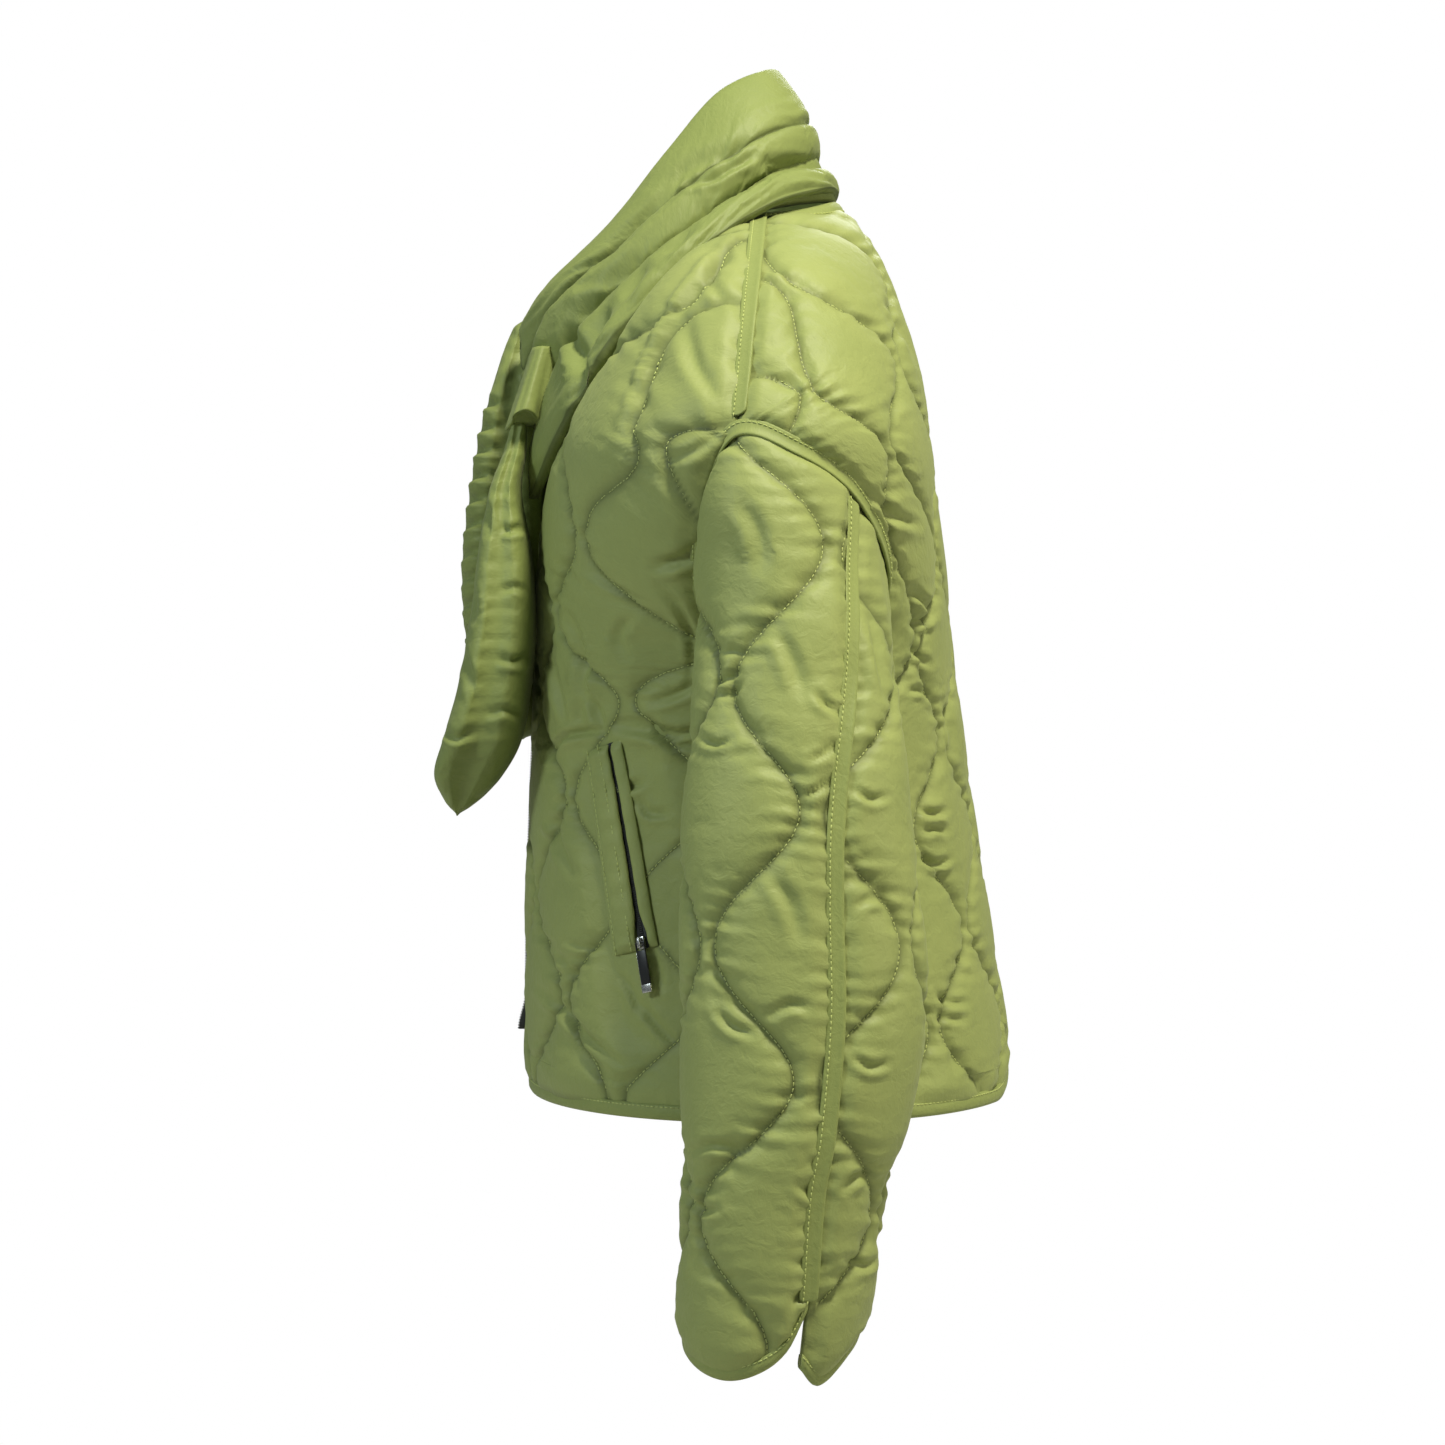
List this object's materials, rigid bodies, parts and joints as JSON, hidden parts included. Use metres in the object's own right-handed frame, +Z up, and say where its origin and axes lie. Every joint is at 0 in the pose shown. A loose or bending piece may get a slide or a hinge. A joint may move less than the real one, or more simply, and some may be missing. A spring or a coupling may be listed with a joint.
{
  "type": "quilted jacket",
  "caption": "Oversized quilted jacket with dropped shoulders, taped outside seams, a big stuffed scarf collar with hanging ends, and slanted zip pockets.",
  "frame": {"origin": "the middle of the neck opening, level with the neck ends of the shoulder seams; the jacket hangs from there", "axes": "+X to the wearer's left, -Y to the front, +Z up along the jacket's length"},
  "size_m": [0.7222, 0.4132, 0.8945],
  "materials": {
    "shell": "soft sheen",
    "scarf": "soft sheen",
    "binding": "soft sheen",
    "zip_tape": "matt woven",
    "slider": "polished",
    "pull_tab": "gloss black"
  },
  "bodies": {
    "jacket": {"back": "shell", "front_left": "shell", "front_right": "shell", "sleeve_front_left": "shell", "sleeve_front_right": "shell", "sleeve_back_left": "shell", "sleeve_back_right": "shell", "collar": "scarf", "scarf_end_left": "scarf", "scarf_end_right": "scarf", "scarf_loop": "scarf", "shoulder_binding_left": "binding", "shoulder_binding_right": "binding", "sleeve_binding_left": "binding", "sleeve_binding_right": "binding", "armhole_binding_left": "binding", "armhole_binding_right": "binding", "hem_binding": "binding", "neck_binding": "binding", "cuff_binding_front_left": "binding", "cuff_binding_front_right": "binding", "cuff_binding_back_left": "binding", "cuff_binding_back_right": "binding", "pocket_welt_left": "shell", "pocket_welt_right": "shell", "pocket_lip_left": "shell", "pocket_lip_right": "shell", "zip_tape_left": "zip_tape", "zip_tape_right": "zip_tape", "pocket_zip_left": "zip_tape", "pocket_zip_right": "zip_tape", "pocket_slider_left": "slider", "pocket_slider_right": "slider"},
    "pull_left": {"pull_tab_left": "pull_tab"},
    "pull_right": {"pull_tab_right": "pull_tab"}
  },
  "joints": [
    {"name": "pull_left_swing", "type": "hinge", "parent": "jacket", "child": "pull_left", "pos_m": [0.19235, -0.0818, -0.50982], "axis": [-0.4936, -0.8378, -0.2335], "range_deg": [0, 150]},
    {"name": "pull_right_swing", "type": "hinge", "parent": "jacket", "child": "pull_right", "pos_m": [-0.19235, -0.0818, -0.50982], "axis": [-0.4936, 0.8378, 0.2335], "range_deg": [0, 150]}
  ]
}
